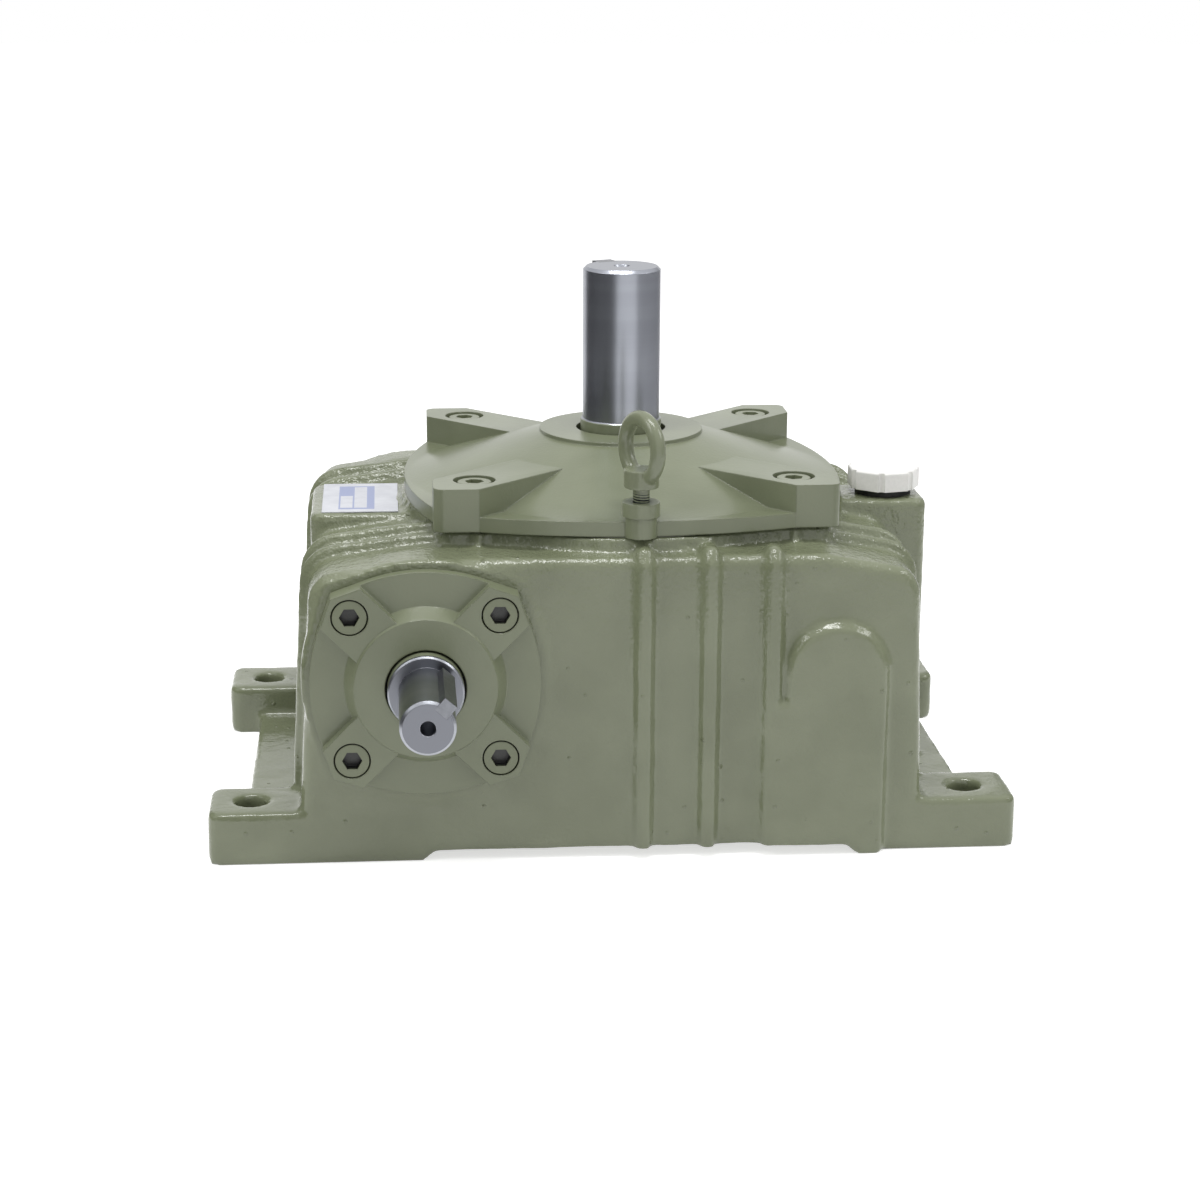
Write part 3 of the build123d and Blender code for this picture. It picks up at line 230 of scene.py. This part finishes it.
cast_enamel = enamel("brushed_enamel_on_sand_casting", "#71775E", "#7A8067", 0.62, 0.26, 0.15, 0.8,
                     shoulders=0.35, bevelled=False, pimple=0.7)
cover_enamel = enamel("sprayed_enamel_on_machined_iron", "#6F755D", "#767C64",
                      0.05, 0.06, 0.28, 0.9)
forged_enamel = enamel("enamel_on_forged_steel", "#70765D", "#797F68", 0.08, 0.06, 0.26, 0.4,
                       bevelled=False)
screw_enamel = enamel("enamel_over_black_oxide_screws", "#6C7259", "#757B62",
                      0.04, 0.05, 0.34, 0.4)
# Painted shade in the sockets of the front and rear cover screws
painted_shade_in_recesses(screw_enamel, 7)
filled_enamel = enamel("enamel_run_into_upright_screw_heads", "#6C7259", "#767C63",
                       0.05, 0.05, 0.30, 0.5)
packed_enamel = enamel("enamel_run_into_the_gasket_line", "#454937", "#525641",
                       0.05, 0.04, 0.45, 0.2)
output_steel = ground_steel("ground_steel_output_shaft", "Z", "#9A9DA5", "#A0A3AB", "#999CA4", 0.32)
paint_below(output_steel, "Z", 186.6, "#6D735A", "#7A8069")
# The worm's end face is given a darker colour than its length: painted shade
worm_steel = ground_steel("ground_steel_worm_shaft", "Y", "#93969D", "#A0A3A9", "#73757B", 0.30)
paint_below(worm_steel, "Y", 137.5, "#6D735A", "#7A8069")
spacer_steel = ground_steel("turned_steel_spacer", "Z", "#84868B", "#8E9095", "#84868B", 0.35)
key_steel = plain_metal("drawn_key_steel", "#77797E", "#808287", 0.36, 3.0, 0.006)
thread_steel = plain_metal("black_oxide_thread", "#1F2022", "#34363A", 0.42, 2.0)
race_steel = plain_metal("polished_bearing_steel", "#9A9CA0", "#B8BABE", 0.18, 8.0, 0.005)
bare_iron = plain_metal("bare_grey_iron", "#4A4B4E", "#5E6063", 0.62, 3.0, 0.12)
wheel_bronze = plain_metal("cast_tin_bronze", "#A87B3C", "#C4944F", 0.32, 5.0)
copper = plain_metal("annealed_copper", "#A8653F", "#BF7A52", 0.35, 4.0)
zinc_steel = plain_metal("zinc_plated_steel", "#8E9296", "#A9ADB0", 0.30, 4.0)
plate_metal = plain_metal("printed_aluminium_plate", "#C7C9D0", "#D3D5DB", 0.42, 9.0, 0.004)
cap_plastic = moulded("white_moulded_polypropylene", "#E6E5E2", "#EBEAE7", 0.38)
seal_rubber = moulded("nitrile_rubber", "#1B1B1B", "#262626", 0.6)


def printed_block(material, block, cells, ink):
    """A plain ink block with bare cells in it, as such plates carry round their figures.

    block and cells are low X, high X, low Y and high Y in mm, and nothing is lettered.
    """
    tree, shader, place = parts_of(material)
    split = node(tree, "ShaderNodeSeparateXYZ", {"Vector": place})

    def within(area):
        low_x, high_x, low_y, high_y = (side * MM for side in area)
        insides = []
        for axis, low, high in (("X", low_x, high_x), ("Y", low_y, high_y)):
            off = calculated(tree, "SUBTRACT", split.outputs[axis], (low + high) / 2)
            insides.append(calculated(tree, "LESS_THAN", calculated(tree, "ABSOLUTE", off),
                                      (high - low) / 2))
        return calculated(tree, "MULTIPLY", *insides)

    inked = within(block)
    for cell in cells:
        inked = calculated(tree, "SUBTRACT", inked, within(cell), use_clamp=True)
    bare = shader.inputs["Base Color"].links[0].from_socket
    tree.links.new(blended(tree, inked, bare, linear(ink)), shader.inputs["Base Color"])
    shader.inputs["Metallic"].default_value = 0.35


printed_block(plate_metal, (-140, -122.5, -25, 24),
              [(-139.2, -133.2, -22, 3), (-132.4, -126.2, -22, 22)], "#98A1C2")
gauge_glass, glass_tree, glass_shader, glass_place = finish_material(
    "sight_glass", {"Roughness": 0.04, "IOR": 1.5, "Transmission Weight": 0.9,
                    "Base Color": linear("#DDE3DA")})
glass_tree.links.new(bumped(glass_tree, noise(glass_tree, glass_place, 4.0), 0.004),
                     glass_shader.inputs["Normal"])

finishes = {
    "housing": cast_enamel, "eye_bolt": forged_enamel, "top_cover_screws": filled_enamel,
    "top_cover": cover_enamel, "front_cover": cover_enamel, "rear_cover": cover_enamel,
    "front_cover_screws": screw_enamel, "rear_cover_screws": screw_enamel,
    "top_cover_gasket": packed_enamel, "front_gasket": packed_enamel, "rear_gasket": packed_enamel,
    "output_seal": seal_rubber, "input_seal": seal_rubber, "bottom_end_cap": seal_rubber,
    "filler_seal": seal_rubber, "filler_cap": cap_plastic, "name_plate": plate_metal,
    "oil_gauge_body": zinc_steel, "oil_gauge_glass": gauge_glass, "drain_plug": zinc_steel,
    "drain_washer": copper, "output_shaft": output_steel, "worm_shaft": worm_steel,
    "output_key": key_steel, "input_key": key_steel, "wheel_key": key_steel,
    "bearing_spacer": spacer_steel, "wheel_centre": bare_iron, "wheel_rim": wheel_bronze,
    "rim_screws": thread_steel,
}
for bearing in ("upper", "lower", "front", "rear"):
    for piece in ("cup", "cone", "rollers", "cage"):
        finishes[bearing + "_bearing_" + piece] = race_steel


def painted_with(mesh, material):
    mesh.materials.clear()
    mesh.materials.append(material)


for name, material in finishes.items():
    painted_with(nodes[name].data, material)


def placed(name, data):
    """A new object in the scene."""
    piece = bpy.data.objects.new(name, data)
    bpy.context.scene.collection.objects.link(piece)
    return piece


def solid_of(name, corners, faces):
    """A new object in the scene with the mesh of these corners and faces."""
    mesh = bpy.data.meshes.new(name)
    mesh.from_pydata(corners, [], faces)
    return placed(name, mesh)


def merged_copy(source, name):
    """A copy of a CAD node's mesh with its loose triangles joined."""
    mesh = nodes[source].data.copy()
    mesh.name = name
    joined = bmesh.new()
    joined.from_mesh(mesh)
    bmesh.ops.remove_doubles(joined, verts=joined.verts, dist=0.002 * MM)
    joined.to_mesh(mesh)
    joined.free()
    return placed(name, mesh)


def settle(piece):
    """Turns the piece with its modifiers into a plain mesh."""
    depsgraph = bpy.context.evaluated_depsgraph_get()
    mesh = bpy.data.meshes.new_from_object(piece.evaluated_get(depsgraph))
    piece.modifiers.clear()
    piece.data = mesh
    mesh.name = piece.name


def run_soft(piece, voxel_mm, rounds):
    """Lets the piece's edges run soft: an even skin of small facets, smoothed in rounds."""
    skin = piece.modifiers.new("skin", "REMESH")
    skin.mode = "VOXEL"
    skin.voxel_size = voxel_mm * MM
    flow = piece.modifiers.new("flow", "SMOOTH")
    flow.factor = 0.5
    flow.iterations = rounds
    settle(piece)


def smooth_shade(mesh):
    mesh.polygons.foreach_set("use_smooth", [True] * len(mesh.polygons))


def geometry_tree(name, inputs):
    """A Geometry Nodes tree with named inputs, and the node that gives them."""
    tree = bpy.data.node_groups.new(name, "GeometryNodeTree")
    for title, kind in inputs.items():
        tree.interface.new_socket(title, in_out="INPUT", socket_type="NodeSocket" + kind)
    tree.interface.new_socket("Geometry", in_out="OUTPUT", socket_type="NodeSocketGeometry")
    return tree, node(tree, "NodeGroupInput")


def end_geometry(tree, geometry, material):
    """Ends a tree in Realize Instances and Set Material."""
    whole = node(tree, "GeometryNodeRealizeInstances", {"Geometry": geometry})
    painted = node(tree, "GeometryNodeSetMaterial",
                   {"Geometry": whole.outputs["Geometry"], "Material": material})
    node(tree, "NodeGroupOutput", {"Geometry": painted.outputs["Geometry"]})


def run_geometry(piece, tree, values):
    """Gives the piece a Geometry Nodes modifier with its inputs set by name."""
    modifier = piece.modifiers.new(tree.name, "NODES")
    modifier.node_group = tree
    for item in tree.interface.items_tree:
        if item.in_out == "INPUT" and item.name in values:
            modifier[item.identifier] = values[item.name]


# Plan of the cover in mm: square arm corners with a small radius, each square until its side
# meets the shallow arc that runs to the next arm, and cut off towards the middle
ARM_CORNER, CORNER_RADIUS, SQUARE_END, ARM_ROOT = 95, 5, 73.8, 83.7
ARC_RADIUS, ARC_CENTRE = 224, 116.5
# Half the angle in degrees that an arm takes up in the cover's plan
ARM_HALF_ANGLE = 7.0


def corner_arc():
    """The rounded corner of one arm, in mm."""
    inner = ARM_CORNER - CORNER_RADIUS
    return [(inner + CORNER_RADIUS * math.cos(angle), -inner + CORNER_RADIUS * math.sin(angle))
            for angle in map(math.radians, range(-90, 1, 15))]


def quarter_turns(points):
    """The points in each of the four quarters of the plan."""
    for _ in range(4):
        yield points
        points = [(-y, x) for x, y in points]


def cover_outline():
    """Plan of the cover, from one side's arc and arm corner."""
    half_steps = 12
    arc_half = math.asin(SQUARE_END / ARC_RADIUS)
    side = []
    for step in range(-half_steps, half_steps + 1):
        angle = arc_half * step / half_steps
        side.append((ARC_RADIUS * math.sin(angle), ARC_CENTRE - ARC_RADIUS * math.cos(angle)))
    side += corner_arc()
    return [(x * MM, y * MM) for points in quarter_turns(side) for x, y in points]


def closed_prism(name, outer, inner, low, high):
    """A prism between two plan outlines of as many points, or solid where inner is None."""
    count = len(outer)
    corners = [(x, y, z) for z in (low, high) for x, y in outer]
    faces = [(at, (at + 1) % count, count + (at + 1) % count, count + at) for at in range(count)]
    if inner is None:
        faces += [tuple(reversed(range(count))), tuple(range(count, 2 * count))]
    else:
        corners += [(x, y, z) for z in (low, high) for x, y in inner]
        for at in range(count):
            after = (at + 1) % count
            faces.append((2 * count + after, 2 * count + at, 3 * count + at, 3 * count + after))
            faces.append((after, at, 2 * count + at, 2 * count + after))
            faces.append((count + at, count + after, 3 * count + after, 3 * count + at))
    return solid_of(name, corners, faces)


def ring_inside(outline, radius_mm, arm_radius_mm):
    """The outline's points drawn in to a circle, and at the arms to another one."""
    drawn = []
    for x, y in outline:
        angle = math.atan2(y, x)
        off_arm = abs(math.degrees(angle) % 90 - 45)
        reach = (arm_radius_mm if off_arm < ARM_HALF_ANGLE else radius_mm) * MM
        drawn.append((reach * math.cos(angle), reach * math.sin(angle)))
    return drawn


cover_plan = cover_outline()
# At the arms the ring under the rim lies further out, clear of the screws
cover_ring = ring_inside(cover_plan, 106.5, 114)
seat_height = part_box("top_cover_gasket")[0][2]

# Casting: the housing's own shape with every edge run soft and the surface raised in lumps, as
# sand leaves it. Its seat reaches out under the corners of the cover, a little inside them.
SEAT_SHARE, SEAT_DEPTH, SEAT_RADIUS_MM = 0.965, 9 * MM, 101
casting = merged_copy("housing", "casting")
seat_plan = [(SEAT_SHARE * x, SEAT_SHARE * y) for x, y in cover_plan]
seat_ring = ring_inside(seat_plan, SEAT_RADIUS_MM, SEAT_RADIUS_MM)
seat = closed_prism("seat", seat_plan, seat_ring, seat_height - SEAT_DEPTH, seat_height)
with_seat = bmesh.new()
with_seat.from_mesh(casting.data)
with_seat.from_mesh(seat.data)
with_seat.to_mesh(casting.data)
with_seat.free()
bpy.data.objects.remove(seat)
run_soft(casting, 1.7, 3)

# Machined faces stay flat: the seat of the cover, the bosses of the worm bearings and the soles
SEAT_LEVEL, SOLE_LEVEL, BOSS_FACE, BOSS_EDGE = 149.5 * MM, 1 * MM, 118.3 * MM, -40 * MM
COARSE_MM, FINE_MM = 16, 5.5
lumps, given = geometry_tree("casting_lumps", {"Geometry": "Geometry", "Coarse height": "Float",
                                               "Fine height": "Float", "Enamel": "Material"})
spot = node(lumps, "GeometryNodeInputPosition").outputs["Position"]
facing = node(lumps, "GeometryNodeInputNormal").outputs["Normal"]
axes = node(lumps, "ShaderNodeSeparateXYZ", {"Vector": spot})
depth = calculated(lumps, "ABSOLUTE", axes.outputs["Y"])
below_seat = calculated(lumps, "LESS_THAN", axes.outputs["Z"], SEAT_LEVEL)
above_sole = calculated(lumps, "GREATER_THAN", axes.outputs["Z"], SOLE_LEVEL)
before_boss = calculated(lumps, "LESS_THAN", depth, BOSS_FACE)
beside_boss = calculated(lumps, "GREATER_THAN", axes.outputs["X"], BOSS_EDGE)
off_boss = calculated(lumps, "MAXIMUM", before_boss, beside_boss)
cast_skin = calculated(lumps, "MULTIPLY", below_seat, above_sole)
cast_skin = calculated(lumps, "MULTIPLY", cast_skin, off_boss)
lifts = []
for width_mm, detail, title in ((COARSE_MM, 2.0, "Coarse height"), (FINE_MM, 1.0, "Fine height")):
    swell = calculated(lumps, "SUBTRACT", noise(lumps, spot, width_mm, detail), 0.5)
    lifts.append(calculated(lumps, "MULTIPLY", swell, given.outputs[title]))
lift = calculated(lumps, "MULTIPLY", calculated(lumps, "ADD", *lifts), cast_skin)
offset = node(lumps, "ShaderNodeVectorMath", {0: facing, "Scale": lift}, operation="SCALE")
moved = node(lumps, "GeometryNodeSetPosition", {"Geometry": given.outputs["Geometry"],
                                                "Offset": offset.outputs["Vector"]})
end_geometry(lumps, moved.outputs["Geometry"], given.outputs["Enamel"])
run_geometry(casting, lumps, {"Coarse height": 0.8 * MM, "Fine height": 0.35 * MM,
                              "Enamel": cast_enamel})
# Thinned to under 200,000 triangles
thinned = casting.modifiers.new("thinned", "DECIMATE")
thinned.ratio = 0.47
settle(casting)
smooth_shade(casting.data)
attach(casting, "casting")
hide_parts("housing")


# Cover: the turned solid with its rim drawn out to the square corners of the arms
RIM_HEIGHT, ARM_TOP = 7 * MM, 173 * MM
cover_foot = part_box("top_cover_gasket")[1][2]
turned_cover = merged_copy("top_cover", "turned_cover")
added = [closed_prism("rim", cover_plan, cover_ring, cover_foot, cover_foot + RIM_HEIGHT)]
arm_corner = [(SQUARE_END, -ARM_CORNER), *corner_arc(), (ARM_CORNER, -SQUARE_END),
              (ARM_ROOT, -ARM_ROOT)]
for points in quarter_turns(arm_corner):
    added.append(closed_prism("arm_corner", [(x * MM, y * MM) for x, y in points], None,
                              cover_foot, ARM_TOP))
for block in added:
    join = turned_cover.modifiers.new("join", "BOOLEAN")
    join.operation = "UNION"
    join.solver = "EXACT"
    join.object = block
settle(turned_cover)
for block in added:
    bpy.data.objects.remove(block)
# The CAD's own normals no longer fit the joined mesh
carried = turned_cover.data.attributes.get("custom_normal")
if carried is not None:
    turned_cover.data.attributes.remove(carried)
smooth_shade(turned_cover.data)
turned_cover.data.set_sharp_from_angle(angle=math.radians(25))
painted_with(turned_cover.data, cover_enamel)
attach(turned_cover, "casting")
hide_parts("top_cover")


# Lifting eye: forged in one, so the ring flows into its collar. Its shank is drawn in, to leave
# room for the thread that shows between collar and boss.
EYE_Y, COLLAR_BOTTOM, SHANK_SHARE = -107 * MM, 175.9 * MM, 0.84
lifting_eye = merged_copy("eye_bolt", "lifting_eye")
for vertex in lifting_eye.data.vertices:
    if vertex.co.z < COLLAR_BOTTOM - 0.5 * MM:
        vertex.co.x *= SHANK_SHARE
        vertex.co.y = EYE_Y + (vertex.co.y - EYE_Y) * SHANK_SHARE
run_soft(lifting_eye, 0.45, 10)
smooth_shade(lifting_eye.data)
painted_with(lifting_eye.data, forged_enamel)
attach(lifting_eye, "casting")
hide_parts("eye_bolt")

THREAD_RADIUS, THREAD_PITCH, THREAD_TURNS, THREAD_RIDGE = 3.45 * MM, 1.25 * MM, 12.0, 0.5 * MM
thread, given = geometry_tree("screw_thread", {
    "Radius": "Float", "Pitch": "Float", "Turns": "Float", "Ridge": "Float", "Foot": "Vector",
    "Finish": "Material"})
rise = calculated(thread, "MULTIPLY", given.outputs["Pitch"], given.outputs["Turns"])
helix = node(thread, "GeometryNodeCurveSpiral",
             {"Resolution": 40, "Rotations": given.outputs["Turns"],
              "Start Radius": given.outputs["Radius"], "End Radius": given.outputs["Radius"],
              "Height": rise})
ridge = node(thread, "GeometryNodeCurvePrimitiveCircle",
             {"Resolution": 6, "Radius": given.outputs["Ridge"]})
wound = node(thread, "GeometryNodeCurveToMesh",
             {"Curve": helix.outputs["Curve"], "Profile Curve": ridge.outputs["Curve"],
              "Fill Caps": True})
lifted = node(thread, "GeometryNodeTransform", {"Geometry": wound.outputs["Mesh"],
                                                "Translation": given.outputs["Foot"]})
end_geometry(thread, lifted.outputs["Geometry"], given.outputs["Finish"])
eye_thread = placed("lifting_eye_thread", bpy.data.meshes.new("lifting_eye_thread"))
thread_foot = COLLAR_BOTTOM + 0.4 * MM - THREAD_TURNS * THREAD_PITCH
run_geometry(eye_thread, thread, {
    "Radius": THREAD_RADIUS, "Pitch": THREAD_PITCH, "Turns": THREAD_TURNS,
    "Ridge": THREAD_RIDGE, "Foot": (0.0, EYE_Y, thread_foot), "Finish": thread_steel})
settle(eye_thread)
smooth_shade(eye_thread.data)
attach(eye_thread, "casting")


def seen_directly(tree):
    """1 for what the camera sees itself, in a reflection or through glass, and 0 for light."""
    path = node(tree, "ShaderNodeLightPath").outputs
    seen = calculated(tree, "MAXIMUM", path["Is Camera Ray"], path["Is Glossy Ray"])
    return calculated(tree, "MAXIMUM", seen, path["Is Transmission Ray"])


# Floor and world: white where they are seen, and dimmer in the light that they give
FLOOR_HALF, FLOOR_HEIGHT, FLOOR_GLOW, WORLD_LIGHT = 6.0, -0.2 * MM, 0.62, 0.56
floor = solid_of("floor", [(x * FLOOR_HALF, y * FLOOR_HALF, FLOOR_HEIGHT)
                           for x, y in ((-1, -1), (1, -1), (1, 1), (-1, 1))], [(0, 1, 2, 3)])
floor_finish = bpy.data.materials.new("pale_studio_floor")
floor_finish.use_nodes = True
floor_tree = floor_finish.node_tree
floor_tree.nodes.clear()
unseen = node(floor_tree, "ShaderNodeBsdfDiffuse", {"Color": linear("#E4E4E4")})
glow = node(floor_tree, "ShaderNodeEmission", {"Color": linear("#FFFFFF"), "Strength": FLOOR_GLOW})
bright = node(floor_tree, "ShaderNodeAddShader",
              {0: unseen.outputs["BSDF"], 1: glow.outputs["Emission"]})
shown = node(floor_tree, "ShaderNodeMixShader",
             {0: seen_directly(floor_tree), 1: unseen.outputs["BSDF"],
              2: bright.outputs["Shader"]})
node(floor_tree, "ShaderNodeOutputMaterial", {"Surface": shown.outputs["Shader"]})
floor.data.materials.append(floor_finish)

world = bpy.data.worlds.new("studio")
bpy.context.scene.world = world
world.use_nodes = True
sky = world.node_tree
sky.nodes.clear()
strength = eased(sky, seen_directly(sky), 0.0, 1.0, WORLD_LIGHT, 1.0)
light = node(sky, "ShaderNodeBackground", {"Color": linear("#FFFFFF"), "Strength": strength})
node(sky, "ShaderNodeOutputWorld", {"Surface": light.outputs["Background"]})


def softbox(name, place, target, width, height, power):
    """A rectangular lamp that looks at its target; metres and watts."""
    lamp = bpy.data.lights.new(name, "AREA")
    lamp.shape = "RECTANGLE"
    lamp.size = width
    lamp.size_y = height
    lamp.energy = power
    holder = placed(name, lamp)
    holder.location = place
    aim = Vector(target) - Vector(place)
    holder.rotation_euler = aim.to_track_quat("-Z", "Y").to_euler()


softbox("softbox_left", (-1.4, -0.5, 1.3), (0, 0, 0.1), 0.7, 0.8, 9)
softbox("softbox_right", (1.5, -0.3, 1.2), (0, 0, 0.1), 0.7, 0.8, 9)
# The strip over the object is narrow and strong, so that it sparkles on the lumps of the shoulders
softbox("strip_overhead", (-0.05, -0.25, 1.7), (0, -0.1, 0.15), 0.9, 0.32, 13)


def grey_flag(name, shade, low_angle, high_angle, distance, low, high):
    """A curved grey flag that only reflections see: the darker side of the studio.

    Its angles are in degrees from the camera's side of the shaft, to the right positive.
    """
    cloth = bpy.data.materials.new(name + "_cloth")
    cloth.use_nodes = True
    surface = cloth.node_tree.nodes["Principled BSDF"].inputs
    surface["Base Color"].default_value = linear(shade)
    surface["Roughness"].default_value = 1.0
    steps = 10
    corners = []
    for step in range(steps + 1):
        angle = math.radians(low_angle + (high_angle - low_angle) * step / steps)
        for height in (low, high):
            corners.append((distance * math.sin(angle), -distance * math.cos(angle), height))
    flag = solid_of(name, corners, [(at, at + 2, at + 3, at + 1) for at in range(0, 2 * steps, 2)])
    flag.data.materials.append(cloth)
    flag.visible_camera = False
    flag.visible_diffuse = False
    flag.visible_shadow = False
    flag.visible_transmission = False


grey_flag("flag_left", "#58585A", -134, -20, 0.55, 0.0, 0.6)
grey_flag("flag_right", "#AEAEB0", 40, 150, 0.75, 0.0, 0.6)

# The photograph's own camera, found from the shaft ends, the feet and the cover: its place in
# metres, its angles in radians and its lens for a sensor 36 mm wide
CAMERA_PLACE, LENS_MM, SENSOR_MM = (-0.114179, -1.258907, 0.445154), 77.794, 36.0
yaw, pitch, roll = 0.08268, 0.272196, -0.005462
forward = Vector((math.sin(yaw) * math.cos(pitch), math.cos(yaw) * math.cos(pitch),
                  -math.sin(pitch)))
level_right = Vector((math.cos(yaw), -math.sin(yaw), 0.0))
level_down = forward.cross(level_right)
right = math.cos(roll) * level_right + math.sin(roll) * level_down
down = -math.sin(roll) * level_right + math.cos(roll) * level_down
lens = bpy.data.cameras.new("camera")
lens.sensor_width = SENSOR_MM
lens.lens = LENS_MM
camera = placed("camera", lens)
turn = Matrix((right, -down, -forward)).transposed()
camera.matrix_world = Matrix.Translation(CAMERA_PLACE) @ turn.to_4x4()
bpy.context.scene.camera = camera
bpy.context.scene.view_settings.view_transform = "Standard"
